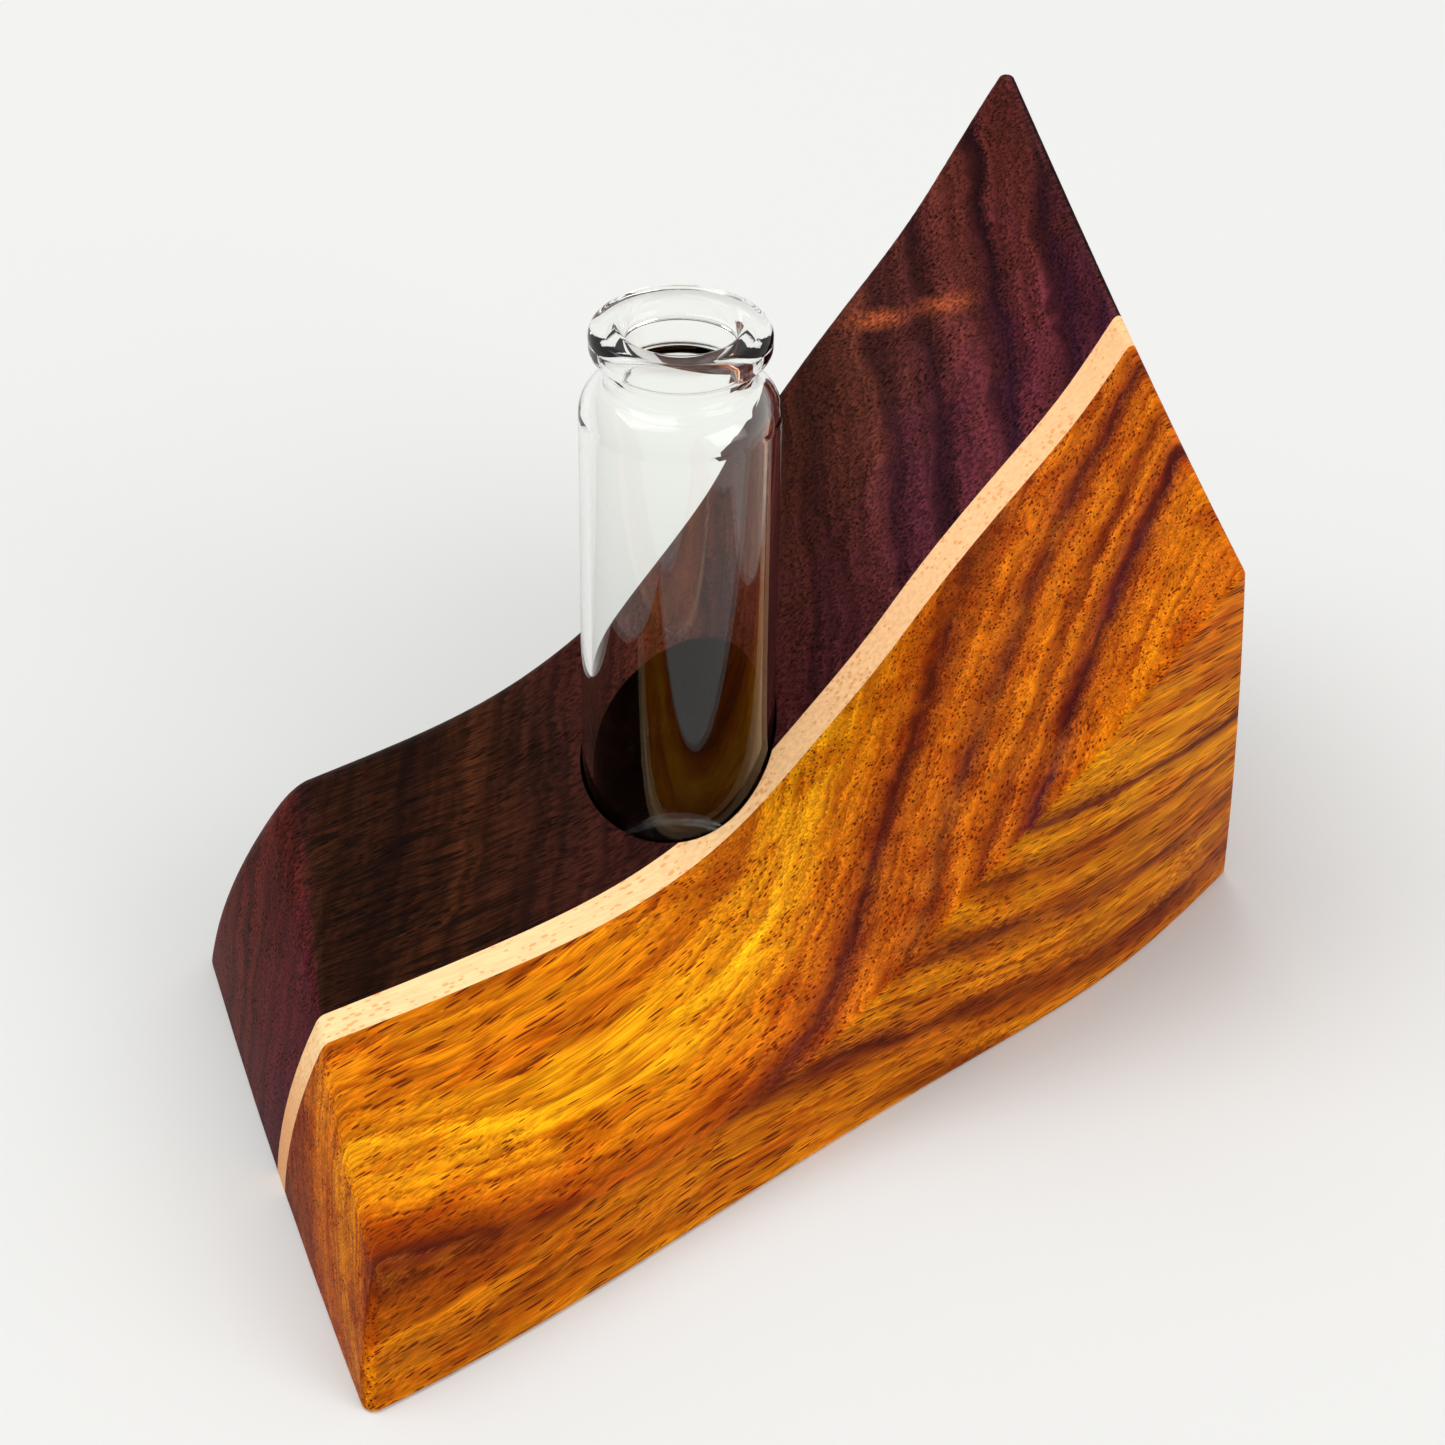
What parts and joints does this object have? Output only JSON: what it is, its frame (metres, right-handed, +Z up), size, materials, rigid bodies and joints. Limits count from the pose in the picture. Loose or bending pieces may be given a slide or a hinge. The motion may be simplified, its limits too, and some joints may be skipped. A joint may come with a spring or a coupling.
{
  "type": "dip pen holder",
  "caption": "Laminated wooden desk block with a swooping top and a blind bore that holds a clear glass vial, in which dip pens stand upright.",
  "frame": {"origin": "on the resting face, on the axis of the bore and vial", "axes": "+Z up along the vial, +X along the glued joints towards the peak, +Y towards the rear of the block"},
  "size_m": [0.1542, 0.0757, 0.0893],
  "materials": {
    "dark_wood": "satin",
    "pale_wood": "satin",
    "golden_wood": "satin",
    "clear_glass": "gloss"
  },
  "bodies": {
    "block": {"dark_rear_block": "dark_wood", "maple_strip": "pale_wood", "golden_front_block": "golden_wood"},
    "vial": {"glass_vial": "clear_glass"}
  },
  "joints": [
    {"name": "vial_lift", "type": "slide", "parent": "block", "child": "vial", "axis": [0, 0, 1], "range_m": [0, 0.04]}
  ]
}
